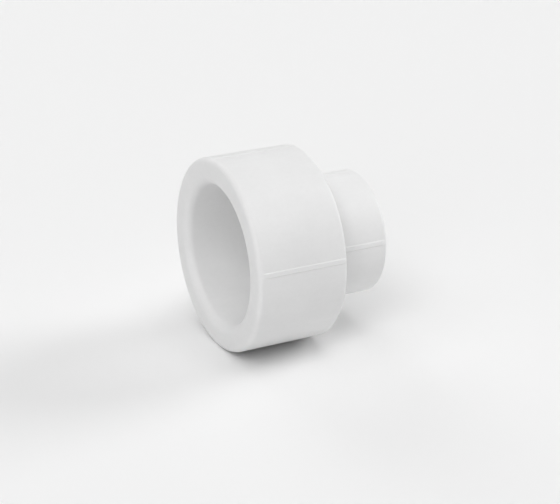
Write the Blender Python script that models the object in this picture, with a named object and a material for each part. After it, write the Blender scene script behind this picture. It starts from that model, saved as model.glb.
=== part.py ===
"""Socket-fusion reducing coupling, 32 mm to 20 mm, one moulding.

Metres, +Z up. The pipe axis is X: the large socket opens towards -X and the
small one towards +X. The origin is on the axis, midway between the two end
faces. The coupling lies on its large barrel: the lowest line of the barrel and
one of its four ribs both touch the plane z = -BARREL_R.
"""

import math

import bmesh
import bpy
from mathutils import Vector

MM = 0.001

# Outside
BARREL_R = 21.75 * MM  # large barrel, outer radius
BARREL_LENGTH = 21.10 * MM  # end face to shoulder
SPIGOT_R = 14.00 * MM  # small barrel, outer radius
SPIGOT_LENGTH = 14.40 * MM  # shoulder to end face
FRONT_ROUND = 1.10 * MM  # outer edge of the large end
RIM_ROUND = 0.65 * MM  # edge between the large barrel and the shoulder
ROOT_FILLET = 0.30 * MM  # foot of the small barrel
END_ROUND = 0.70 * MM  # outer edge of the small end

# Sockets: each tapers inwards from its mouth to its pipe stop
LARGE_MOUTH_R = 31.50 / 2 * MM
LARGE_ROOT_R = 30.70 / 2 * MM
LARGE_DEPTH = 18.10 * MM
LARGE_MOUTH_ROUND = 2.00 * MM
SMALL_MOUTH_R = 19.30 / 2 * MM
SMALL_ROOT_R = 19.10 / 2 * MM
SMALL_DEPTH = 14.50 * MM
SMALL_MOUTH_ROUND = 1.00 * MM
THROAT_R = 15.00 / 2 * MM  # the way through, between the two stops
STOP_ROUND = 0.30 * MM  # inner edges of the stops

# Alignment ribs, four on each barrel, in line with each other
RIB_COUNT = 4
RIB_WIDTH = 1.40 * MM
RIB_HEIGHT = 0.135 * MM
RIB_RAMP = 0.45 * MM  # run-out at a rib's free end

FACETS = 72  # sides of the turned surfaces
TOTAL = BARREL_LENGTH + SPIGOT_LENGTH
LEFT = -TOTAL / 2


def arc(cx, cr, radius, start, end, steps):
    """Points (x, r) on a profile arc, angles in degrees from +x towards +r."""
    points = []
    for i in range(steps + 1):
        t = math.radians(start + (end - start) * i / steps)
        points.append((cx + radius * math.cos(t), cr + radius * math.sin(t)))
    return points


def rib_section(s):
    """Height of a rib, as a share of its full height, at s half-widths from its middle.

    A low bar: flat across the top, with a soft slope on each side.
    """
    t = min(1.0, max(0.0, (1.0 - abs(s)) / (1.0 - RIB_FLAT)))
    return t * t * (3.0 - 2.0 * t)


RIB_FLAT = 0.55  # share of a rib's width that is flat
RIB_SAMPLES = (-1.0, -0.85, -0.7, -RIB_FLAT, RIB_FLAT, 0.7, 0.85, 1.0)


def resting_turn():
    """The angle, from straight down, of the rib that the coupling leans on.

    At this angle the rib's lowest point is level with the barrel's lowest line.
    """
    low, high = 0.0, math.radians(30)
    for _ in range(60):
        turn = (low + high) / 2
        reach = max(
            (BARREL_R + RIB_HEIGHT * rib_section(s))
            * math.cos(turn + s * RIB_WIDTH / 2 / BARREL_R)
            for s in RIB_SAMPLES
        )
        if reach > BARREL_R:
            low = turn
        else:
            high = turn
    return high


def outside_profile():
    """(x, r, share of rib height) from the large end's flat to the small end's flat."""
    start, shoulder, end = LEFT, LEFT + BARREL_LENGTH, -LEFT
    rings = []
    for x, r in arc(start + FRONT_ROUND, BARREL_R - FRONT_ROUND, FRONT_ROUND, 180, 90, 5):
        rings.append((x, r, 0.0))
    rings.append((start + FRONT_ROUND + RIB_RAMP, BARREL_R, 1.0))
    rim = arc(shoulder - RIM_ROUND, BARREL_R - RIM_ROUND, RIM_ROUND, 90, 0, 4)
    for i, (x, r) in enumerate(rim):
        rings.append((x, r, 1.0 if i == 0 else 1.0 - i / 4))
    foot = arc(shoulder + ROOT_FILLET, SPIGOT_R + ROOT_FILLET, ROOT_FILLET, 180, 270, 3)
    for i, (x, r) in enumerate(foot):
        rings.append((x, r, i / 3))
    rings.append((end - END_ROUND - RIB_RAMP, SPIGOT_R, 1.0))
    for x, r in arc(end - END_ROUND, SPIGOT_R - END_ROUND, END_ROUND, 90, 0, 4):
        rings.append((x, r, 0.0))
    return rings


def inside_profile():
    """(x, r) from the small end's flat, through the throat, to the large end's flat."""
    start, end = LEFT, -LEFT
    small_stop = end - SMALL_DEPTH
    large_stop = start + LARGE_DEPTH
    points = arc(end - SMALL_MOUTH_ROUND, SMALL_MOUTH_R + SMALL_MOUTH_ROUND, SMALL_MOUTH_ROUND, 0, -90, 4)
    points.append((small_stop, SMALL_ROOT_R))
    points += arc(small_stop - STOP_ROUND, THROAT_R + STOP_ROUND, STOP_ROUND, 0, -90, 2)
    points += arc(large_stop + STOP_ROUND, THROAT_R + STOP_ROUND, STOP_ROUND, 270, 180, 2)
    points.append((large_stop, LARGE_ROOT_R))
    points += arc(start + LARGE_MOUTH_ROUND, LARGE_MOUTH_R + LARGE_MOUTH_ROUND, LARGE_MOUTH_ROUND, 270, 180, 6)
    return points


def ring_angles():
    """(angle from +Z towards +Y, offset in rib half-widths or None) for each vertex of a ring."""
    turn = resting_turn()
    step = 2 * math.pi / FACETS
    ribs = [turn + i * 2 * math.pi / RIB_COUNT for i in range(RIB_COUNT)]
    angles = []
    for i in range(FACETS):
        a = i * step
        gap = min(abs((a - rib + math.pi) % (2 * math.pi) - math.pi) for rib in ribs)
        if gap > 0.75 * step:
            angles.append((a, None))
    for rib in ribs:
        angles += [(rib, s) for s in RIB_SAMPLES]
    return sorted(angles, key=lambda pair: (pair[0], pair[1] or 0.0))


def build_body():
    rings = outside_profile() + [(x, r, 0.0) for x, r in inside_profile()]
    angles = ring_angles()
    mesh = bpy.data.meshes.new("reducer_body")
    bm = bmesh.new()
    loops = []
    for x, r, share in rings:
        loop = []
        for angle, s in angles:
            radius = r
            if s is not None:
                angle += s * RIB_WIDTH / 2 / max(r, SPIGOT_R)
                radius += RIB_HEIGHT * share * rib_section(s)
            loop.append(bm.verts.new(Vector((x, radius * math.sin(angle), radius * math.cos(angle)))))
        loops.append(loop)
    count = len(angles)
    for i in range(len(loops)):
        this, following = loops[i], loops[(i + 1) % len(loops)]
        for j in range(count):
            k = (j + 1) % count
            bm.faces.new((this[j], this[k], following[k], following[j]))
    bmesh.ops.recalc_face_normals(bm, faces=bm.faces)
    bm.to_mesh(mesh)
    bm.free()
    mesh.shade_smooth()
    mesh.set_sharp_from_angle(angle=math.radians(30))
    body = bpy.data.objects.new("reducer_body", mesh)
    bpy.context.scene.collection.objects.link(body)
    return body


def white_plastic():
    material = bpy.data.materials.new("white_polypropylene")
    material.use_nodes = True
    shader = material.node_tree.nodes["Principled BSDF"]
    shader.inputs["Base Color"].default_value = (0.83, 0.83, 0.825, 1.0)
    shader.inputs["Roughness"].default_value = 0.42
    shader.inputs["Metallic"].default_value = 0.0
    return material


for obj in list(bpy.data.objects):
    bpy.data.objects.remove(obj, do_unlink=True)

body = build_body()
body.data.materials.append(white_plastic())
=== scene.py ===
import math

import bpy
import numpy as np
from mathutils import Matrix, Vector


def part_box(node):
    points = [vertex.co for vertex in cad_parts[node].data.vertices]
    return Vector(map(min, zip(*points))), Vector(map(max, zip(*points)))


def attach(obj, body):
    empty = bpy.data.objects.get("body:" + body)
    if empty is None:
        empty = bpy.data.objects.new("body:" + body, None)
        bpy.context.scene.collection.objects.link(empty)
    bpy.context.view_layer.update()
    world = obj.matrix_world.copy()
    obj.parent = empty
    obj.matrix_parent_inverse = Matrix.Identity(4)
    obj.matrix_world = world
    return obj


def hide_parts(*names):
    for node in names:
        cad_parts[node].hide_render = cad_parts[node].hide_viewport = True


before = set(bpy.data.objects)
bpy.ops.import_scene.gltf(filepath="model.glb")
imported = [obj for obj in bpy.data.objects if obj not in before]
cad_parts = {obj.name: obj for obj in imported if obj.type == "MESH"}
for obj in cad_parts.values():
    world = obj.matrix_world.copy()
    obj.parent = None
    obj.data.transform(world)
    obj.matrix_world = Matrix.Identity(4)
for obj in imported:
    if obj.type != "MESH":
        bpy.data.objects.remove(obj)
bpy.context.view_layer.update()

# ---------------------------------------------------------------- sizes
# The moulding's own dimensions, in metres. The pipe axis is X, the large mouth opens towards -X.
MM = 0.001
LOW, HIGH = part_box("reducer_body")
LEFT, RIGHT = LOW.x, HIGH.x  # the two end faces
FLOOR_Z = LOW.z  # lowest line of the large barrel
BARREL_R = (HIGH.z - LOW.z) / 2
SHOULDER = LEFT + 21.10 * MM
SPIGOT_R = 14.00 * MM
FRONT_ROUND = 1.10 * MM
RIM_ROUND = 0.65 * MM
ROOT_FILLET = 0.30 * MM
END_ROUND = 0.70 * MM
LARGE_MOUTH_R, LARGE_ROOT_R, LARGE_DEPTH, LARGE_MOUTH_ROUND = 15.75 * MM, 15.35 * MM, 18.10 * MM, 2.00 * MM
SMALL_MOUTH_R, SMALL_ROOT_R, SMALL_DEPTH, SMALL_MOUTH_ROUND = 9.65 * MM, 9.55 * MM, 14.50 * MM, 1.00 * MM
THROAT_R, STOP_ROUND = 7.50 * MM, 0.30 * MM
RIB_WIDTH, RIB_HEIGHT, RIB_RAMP = 1.40 * MM, 0.135 * MM, 0.45 * MM


# ---------------------------------------------------------------- camera
def make_camera():
    """Looks down 21.8 degrees, with the large mouth turned 27.2 degrees away from side-on."""
    turn, pitch = math.radians(27.204), math.radians(21.806)
    right = Vector((math.cos(turn), -math.sin(turn), 0.0))
    level = Vector((math.sin(turn), math.cos(turn), 0.0))
    forward = level * math.cos(pitch) - Vector((0, 0, math.sin(pitch)))
    up = right.cross(forward)
    mouth = Vector((LEFT, 0.0, 0.0))
    eye = mouth + BARREL_R * (0.6515 * right + 0.0395 * up - 16.812 * forward)
    data = bpy.data.cameras.new("camera")
    data.sensor_width = 36.0
    data.lens = 36.0 * 1664.35 / 560.0
    data.clip_start, data.clip_end = 0.01, 50.0
    camera = bpy.data.objects.new("camera", data)
    camera.matrix_world = Matrix((
        (right.x, up.x, -forward.x, eye.x),
        (right.y, up.y, -forward.y, eye.y),
        (right.z, up.z, -forward.z, eye.z),
        (0, 0, 0, 1),
    ))
    bpy.context.scene.collection.objects.link(camera)
    bpy.context.scene.camera = camera
    return camera


# ---------------------------------------------------------------- the moulding
def arc(cx, cr, radius, start, end, steps):
    t = np.radians(np.linspace(start, end, steps + 1))
    return [(cx + radius * math.cos(a), cr + radius * math.sin(a)) for a in t]


def straight(a, b, steps):
    """Points strictly between a and b."""
    return [(a[0] + (b[0] - a[0]) * i / steps, a[1] + (b[1] - a[1]) * i / steps) for i in range(1, steps)]


def smooth(t):
    t = min(1.0, max(0.0, t))
    return t * t * (3 - 2 * t)


def rib_section(s):
    """Height share across a rib, s in half-widths: a low bar with a flat top and a soft slope on each side."""
    return smooth((1.0 - abs(s)) / 0.45)


RIB_SAMPLES = [-1.4, -1.15, -1.0, -0.95, -0.9, -0.85, -0.8, -0.75, -0.7, -0.65, -0.6, -0.55, -0.4, -0.25, -0.12]
RIB_SAMPLES = RIB_SAMPLES + [0.0] + [-s for s in reversed(RIB_SAMPLES)]


def resting_turn():
    """Angle from straight down of the rib that the moulding leans on: rib and barrel touch the same plane."""
    low, high = 0.0, math.radians(30)
    for _ in range(60):
        turn = (low + high) / 2
        reach = max(
            (BARREL_R + RIB_HEIGHT * rib_section(s)) * math.cos(turn + s * RIB_WIDTH / 2 / BARREL_R)
            for s in RIB_SAMPLES
        )
        low, high = (turn, high) if reach > BARREL_R else (low, turn)
    return high


def rib_share(x):
    """Height share of the ribs along the moulding."""
    start = LEFT + FRONT_ROUND * 0.75
    if x <= SHOULDER:
        return smooth((x - start) / RIB_RAMP) * (1.0 - smooth((x - (SHOULDER - RIM_ROUND)) / RIM_ROUND))
    if x < SHOULDER + ROOT_FILLET:  # grows out of the fillet at the foot
        return math.acos(1.0 - (x - SHOULDER) / ROOT_FILLET) / (math.pi / 2)
    end = RIGHT - END_ROUND * 0.9
    return smooth((end - x) / RIB_RAMP)


def profile():
    """Rings (x, r, outside) once round the section: out along the outside, back along the inside."""
    outside = []
    outside += arc(LEFT + FRONT_ROUND, BARREL_R - FRONT_ROUND, FRONT_ROUND, 180, 90, 12)
    barrel = [LEFT + FRONT_ROUND + d * MM for d in (0.12, 0.25, 0.4, 0.6, 1.2)]
    barrel += list(np.linspace(LEFT + 3.5 * MM, SHOULDER - RIM_ROUND - 0.6 * MM, 12))
    outside += [(x, BARREL_R) for x in barrel]
    outside += arc(SHOULDER - RIM_ROUND, BARREL_R - RIM_ROUND, RIM_ROUND, 90, 0, 10)
    outside += straight((SHOULDER, BARREL_R - RIM_ROUND), (SHOULDER, SPIGOT_R + ROOT_FILLET), 4)
    outside += arc(SHOULDER + ROOT_FILLET, SPIGOT_R + ROOT_FILLET, ROOT_FILLET, 180, 270, 6)
    spigot = list(np.linspace(SHOULDER + 1.2 * MM, RIGHT - END_ROUND - 1.2 * MM, 8))
    spigot += [RIGHT - END_ROUND - d * MM for d in (0.7, 0.5, 0.3, 0.15)]
    outside += [(x, SPIGOT_R) for x in spigot]
    outside += arc(RIGHT - END_ROUND, SPIGOT_R - END_ROUND, END_ROUND, 90, 0, 10)
    inside = []
    inside += straight((RIGHT, SPIGOT_R - END_ROUND), (RIGHT, SMALL_MOUTH_R + SMALL_MOUTH_ROUND), 3)
    inside += arc(RIGHT - SMALL_MOUTH_ROUND, SMALL_MOUTH_R + SMALL_MOUTH_ROUND, SMALL_MOUTH_ROUND, 0, -90, 10)
    inside += straight((RIGHT - SMALL_MOUTH_ROUND, SMALL_MOUTH_R), (RIGHT - SMALL_DEPTH, SMALL_ROOT_R), 8)
    inside += [(RIGHT - SMALL_DEPTH + 0.15 * MM, SMALL_ROOT_R), (RIGHT - SMALL_DEPTH, SMALL_ROOT_R - 0.15 * MM)]
    inside += arc(RIGHT - SMALL_DEPTH - STOP_ROUND, THROAT_R + STOP_ROUND, STOP_ROUND, 0, -90, 5)
    inside += arc(LEFT + LARGE_DEPTH + STOP_ROUND, THROAT_R + STOP_ROUND, STOP_ROUND, 270, 180, 5)
    inside += straight((LEFT + LARGE_DEPTH, THROAT_R + STOP_ROUND), (LEFT + LARGE_DEPTH, LARGE_ROOT_R), 4)
    inside += [(LEFT + LARGE_DEPTH, LARGE_ROOT_R - 0.15 * MM), (LEFT + LARGE_DEPTH - 0.15 * MM, LARGE_ROOT_R)]
    inside += straight((LEFT + LARGE_DEPTH - 0.15 * MM, LARGE_ROOT_R), (LEFT + LARGE_MOUTH_ROUND, LARGE_MOUTH_R), 12)
    inside += arc(LEFT + LARGE_MOUTH_ROUND, LARGE_MOUTH_R + LARGE_MOUTH_ROUND, LARGE_MOUTH_ROUND, 270, 180, 16)
    inside += straight((LEFT, LARGE_MOUTH_R + LARGE_MOUTH_ROUND), (LEFT, BARREL_R - FRONT_ROUND), 3)
    return [(x, r, True) for x, r in outside] + [(x, r, False) for x, r in inside]


def make_moulding():
    facets = 216
    step = 2 * math.pi / facets
    turn = resting_turn()
    ribs = [turn + i * math.pi / 2 for i in range(4)]
    reach = RIB_SAMPLES[-1] * RIB_WIDTH / 2 / SPIGOT_R
    angles = []
    for i in range(facets):
        a = i * step
        gap = min(abs((a - rib + math.pi) % (2 * math.pi) - math.pi) for rib in ribs)
        if gap > reach + 0.35 * step:
            angles.append((a, 0.0, False))
    for rib in ribs:
        angles += [(rib, s, True) for s in RIB_SAMPLES]
    angles.sort()
    base = np.array([a for a, _, _ in angles])
    side = np.array([s for _, s, _ in angles])
    on_rib = np.array([k for _, _, k in angles])
    height = np.array([rib_section(s) if k else 0.0 for _, s, k in angles])
    rings = profile()
    points = []
    for x, r, outer in rings:
        around = base + side * RIB_WIDTH / 2 / max(r, SPIGOT_R)
        radius = r + (RIB_HEIGHT * rib_share(x) * height if outer else 0.0 * height)
        points.append(np.stack([np.full_like(around, x), radius * np.sin(around), radius * np.cos(around)], 1))
    n, m = len(angles), len(rings)
    vertices = np.concatenate(points)
    faces = []
    for i in range(m):
        a, b = i * n, ((i + 1) % m) * n
        for j in range(n):
            k = (j + 1) % n
            faces.append((a + j, a + k, b + k, b + j))
    mesh = bpy.data.meshes.new("reducer_moulding")
    mesh.from_pydata(vertices.tolist(), [], faces)
    mesh.validate()
    mesh.update()
    # faces must point outwards
    volume = 0.0
    for p in mesh.polygons:
        volume += p.center.dot(p.normal) * p.area
    if volume < 0:
        mesh.flip_normals()
    mesh.shade_smooth()
    piece = bpy.data.objects.new("reducer_moulding", mesh)
    bpy.context.scene.collection.objects.link(piece)
    return piece


# ---------------------------------------------------------------- materials
class Nodes:
    """Short calls for building one material's node tree."""

    def __init__(self, name):
        self.material = bpy.data.materials.new(name)
        self.material.use_nodes = True
        self.tree = self.material.node_tree
        self.shader = self.tree.nodes["Principled BSDF"]

    def add(self, kind, settings=None, **inputs):
        made = self.tree.nodes.new(kind)
        for name, value in (settings or {}).items():
            setattr(made, name, value)
        for name, value in inputs.items():
            self.join(value, made.inputs[name.replace("_", " ")])
        return made

    def join(self, value, socket):
        if isinstance(value, bpy.types.NodeSocket):
            self.tree.links.new(value, socket)
        else:
            socket.default_value = value

    def math(self, operation, *values):
        made = self.tree.nodes.new("ShaderNodeMath")
        made.operation = operation
        for value, socket in zip(values, made.inputs):
            self.join(value, socket)
        return made.outputs[0]

    def stretched(self, place, x, y, z):
        return self.add("ShaderNodeMapping", Vector=place, Scale=(x, y, z)).outputs[0]

    def noise(self, place, size, detail=2.0, roughness=0.5, distortion=0.0):
        """Noise from 0 to 1 about 0.5, its features about size metres across."""
        return self.add(
            "ShaderNodeTexNoise", Vector=place, Scale=0.6 / size, Detail=detail,
            Roughness=roughness, Distortion=distortion,
        ).outputs[0]

    def span(self, value, low, high, to_low, to_high):
        """Maps low..high onto to_low..to_high, with no more at the ends."""
        return self.add(
            "ShaderNodeMapRange", {"clamp": True}, Value=value,
            From_Min=low, From_Max=high, To_Min=to_low, To_Max=to_high,
        ).outputs[0]


def plastic():
    """White random copolymer polypropylene, satin as it leaves the mould, a little translucent."""
    n = Nodes("white_copolymer")
    place = n.add("ShaderNodeTexCoord").outputs["Object"]
    axis = n.add("ShaderNodeSeparateXYZ", Vector=place)
    radius = n.math("SQRT", n.math("ADD", n.math("POWER", axis.outputs[1], 2.0), n.math("POWER", axis.outputs[2], 2.0)))

    # colour: cloudy where the melt was mixed less, with faint paler flow marks along the pipe axis
    cloud = n.span(n.noise(place, 7 * MM, 3.0, 0.55), 0.3, 0.7, -0.014, 0.014)
    grain = n.span(n.noise(place, 0.5 * MM, 2.0), 0.3, 0.7, -0.006, 0.006)
    flow = n.span(n.noise(n.stretched(place, 0.12, 1, 1), 1.6 * MM, 3.0, 0.6, 0.6), 0.45, 0.75, 0.0, 0.010)
    shade = n.math("ADD", n.math("ADD", cloud, grain), n.math("ADD", flow, 0.818))
    n.join(n.add("ShaderNodeCombineColor", Red=shade, Green=shade, Blue=shade).outputs[0], n.shader.inputs["Base Color"])

    # gloss: satin, patchy, with short hairline scuffs from handling
    patch = n.span(n.noise(place, 4 * MM, 2.0, 0.6), 0.3, 0.7, -0.05, 0.05)
    streak = n.span(n.noise(n.stretched(place, 0.08, 1, 1), 0.35 * MM, 2.0), 0.3, 0.7, -0.03, 0.03)
    scuff_a = n.span(n.noise(n.stretched(place, 1, 0.06, 0.35), 0.22 * MM, 1.0), 0.70, 0.76, 0.0, 1.0)
    scuff_b = n.span(n.noise(n.stretched(place, 0.3, 1, 0.05), 0.22 * MM, 1.0), 0.70, 0.76, 0.0, 1.0)
    scuff = n.math("MULTIPLY", n.math("MAXIMUM", scuff_a, scuff_b), n.span(n.noise(place, 9 * MM, 1.0), 0.45, 0.6, 0.0, 1.0))
    rough = n.math("ADD", n.math("ADD", patch, streak), n.math("MULTIPLY_ADD", scuff, 0.08, 0.50))
    n.join(rough, n.shader.inputs["Roughness"])

    # relief, in metres: the mould's spark-eroded grain, its turned lines, slight waviness of the cooled wall, scuffs
    erosion = n.math("MULTIPLY", n.noise(place, 0.22 * MM, 3.0, 0.6), 5.0e-6)
    lines = n.math("ADD", n.math("SINE", n.math("MULTIPLY", axis.outputs[0], 2 * math.pi / (0.42 * MM))),
                   n.math("SINE", n.math("MULTIPLY", radius, 2 * math.pi / (0.42 * MM))))
    turned = n.math("MULTIPLY", n.math("MULTIPLY", lines, n.noise(place, 3 * MM, 1.0)), 0.5e-6)
    wave = n.math("MULTIPLY", n.noise(place, 9 * MM, 1.0), 60.0e-6)
    height = n.math("ADD", n.math("ADD", erosion, turned), n.math("MULTIPLY_ADD", scuff, -2.0e-6, wave))
    n.join(n.add("ShaderNodeBump", Strength=1.0, Distance=1.0, Height=height).outputs[0], n.shader.inputs["Normal"])

    n.shader.inputs["IOR"].default_value = 1.49
    n.shader.inputs["Specular IOR Level"].default_value = 0.38
    n.shader.inputs["Subsurface Weight"].default_value = 0.12
    n.shader.inputs["Subsurface Radius"].default_value = (1.0, 1.0, 1.0)
    n.shader.inputs["Subsurface Scale"].default_value = 1.2 * MM
    return n.material


def floor_material():
    """Plain pale paper."""
    n = Nodes("pale_floor")
    place = n.add("ShaderNodeTexCoord").outputs["Object"]
    shade = n.span(n.noise(place, 0.25, 2.0), 0.3, 0.7, 0.861, 0.867)
    n.join(n.add("ShaderNodeCombineColor", Red=shade, Green=shade, Blue=shade).outputs[0], n.shader.inputs["Base Color"])
    n.shader.inputs["Roughness"].default_value = 1.0
    n.shader.inputs["Specular IOR Level"].default_value = 0.0
    return n.material


# ---------------------------------------------------------------- stage and lights
def make_floor():
    bpy.ops.mesh.primitive_plane_add(size=40.0, location=(0, 0, FLOOR_Z))
    floor = bpy.context.object
    floor.name = "floor"
    floor.data.materials.append(floor_material())
    return floor


def sun(name, azimuth, elevation, strength, spread):
    """A soft light from a direction: azimuth from +X towards +Y, both in degrees; spread is its width in degrees."""
    data = bpy.data.lights.new(name, "SUN")
    data.energy = strength
    data.angle = math.radians(spread)
    light = bpy.data.objects.new(name, data)
    a, e = math.radians(azimuth), math.radians(elevation)
    towards = Vector((math.cos(a) * math.cos(e), math.sin(a) * math.cos(e), math.sin(e)))
    light.rotation_mode = "QUATERNION"
    light.rotation_quaternion = towards.to_track_quat("Z", "Y")
    light.location = towards * 2
    bpy.context.scene.collection.objects.link(light)
    return light


# Soft lights all round, as in a white tent: (azimuth from +X towards +Y, elevation, strength)
LIGHTS = (
    (0, 8, 0.578), (45, 8, 0.103), (90, 8, 0.027), (225, 8, 0.302),
    (0, 28, 1.006), (90, 28, 0.532), (225, 28, 0.220),
    (135, 50, 0.093), (180, 50, 0.336), (225, 50, 0.765), (315, 50, 0.013),
    (90, 72, 0.089), (135, 72, 0.128), (180, 72, 0.012), (270, 72, 0.486), (315, 72, 0.327), (0, 90, 0.010),
)
TENT = 0.10  # strength of the even light of the tent's walls


def make_lights():
    world = bpy.data.worlds.new("tent")
    bpy.context.scene.world = world
    world.use_nodes = True
    tree = world.node_tree
    even = tree.nodes["Background"]
    even.inputs["Color"].default_value = (1, 1, 1, 1)
    even.inputs["Strength"].default_value = TENT
    # the wall itself, where it is seen past the edge of the floor
    wall = tree.nodes.new("ShaderNodeBackground")
    wall.inputs["Color"].default_value = (0.863, 0.863, 0.863, 1)
    rays = tree.nodes.new("ShaderNodeLightPath")
    mix = tree.nodes.new("ShaderNodeMixShader")
    tree.links.new(rays.outputs["Is Camera Ray"], mix.inputs["Fac"])
    tree.links.new(even.outputs[0], mix.inputs[1])
    tree.links.new(wall.outputs[0], mix.inputs[2])
    tree.links.new(mix.outputs[0], tree.nodes["World Output"].inputs["Surface"])
    for azimuth, elevation, strength in LIGHTS:
        sun("light_%03d_%02d" % (azimuth, elevation), azimuth, elevation, strength, 30)


make_camera()
moulding = make_moulding()
moulding.data.materials.append(plastic())
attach(moulding, "root")
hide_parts("reducer_body")
make_floor()
make_lights()
bpy.context.scene.view_settings.view_transform = "Standard"
